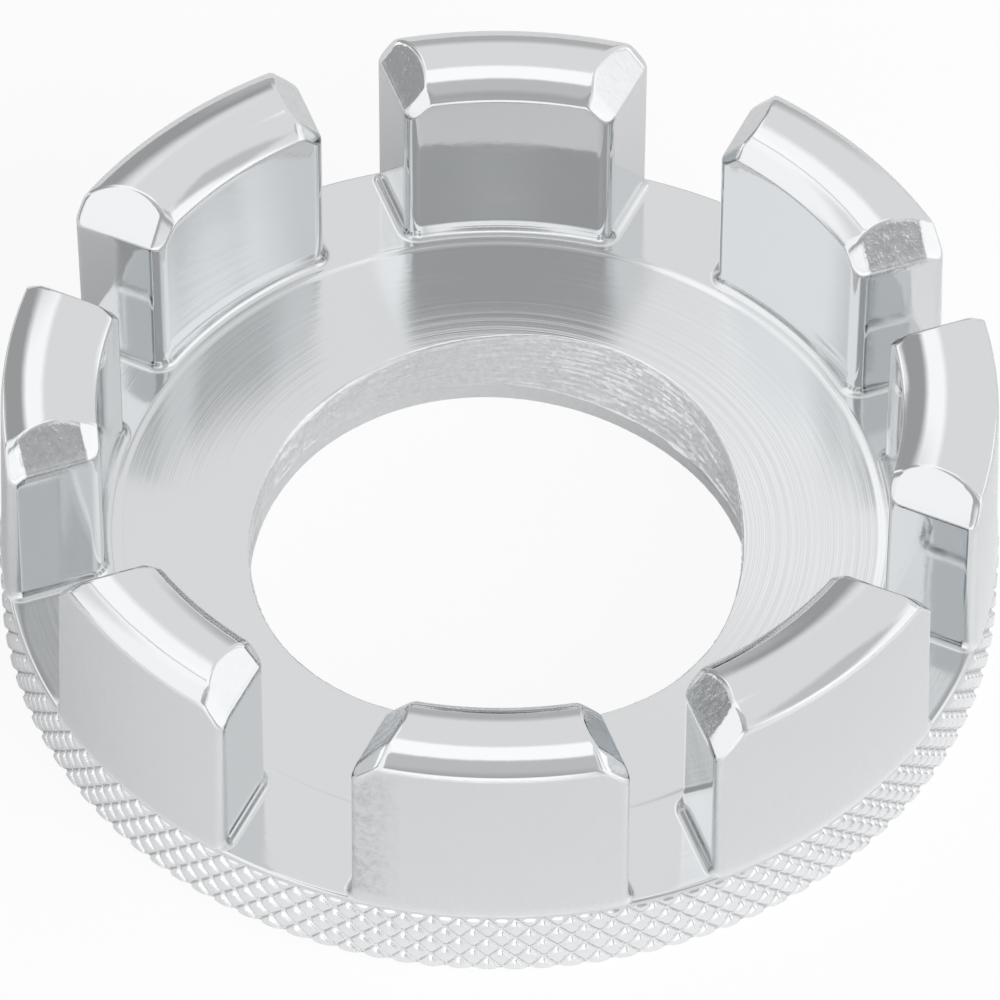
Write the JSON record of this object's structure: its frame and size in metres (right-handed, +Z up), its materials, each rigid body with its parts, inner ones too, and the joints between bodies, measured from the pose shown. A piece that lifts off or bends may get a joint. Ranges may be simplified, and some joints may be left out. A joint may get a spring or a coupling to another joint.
{
  "type": "spoke wrench",
  "caption": "Round spoke wrench: a knurled finger ring with upright lugs whose gaps grip spoke nipples of different widths.",
  "frame": {"origin": "middle of the flat underside, on the axis of the ring", "axes": "+Z up along the axis of the ring, out of the finger hole past the lugs; +X along the middle of the 4.1 mm slot"},
  "size_m": [0.04, 0.04, 0.0123],
  "materials": {
    "knurled_chrome": "bright chrome plate over a diamond knurl",
    "turned_chrome": "chrome plate over fine concentric turning marks",
    "cast_chrome": "chrome plate over a rough as-cast wall",
    "lug_chrome": "bright chrome plate, satin on the outer walls"
  },
  "bodies": {
    "root": {"knurled_band": "knurled_chrome", "slot_ring": "turned_chrome", "bore_collar": "cast_chrome", "jaw_lug_1": "lug_chrome", "jaw_lug_2": "lug_chrome", "jaw_lug_3": "lug_chrome", "jaw_lug_4": "lug_chrome", "jaw_lug_5": "lug_chrome", "jaw_lug_6": "lug_chrome", "jaw_lug_7": "lug_chrome", "jaw_lug_8": "lug_chrome"}
  },
  "joints": []
}
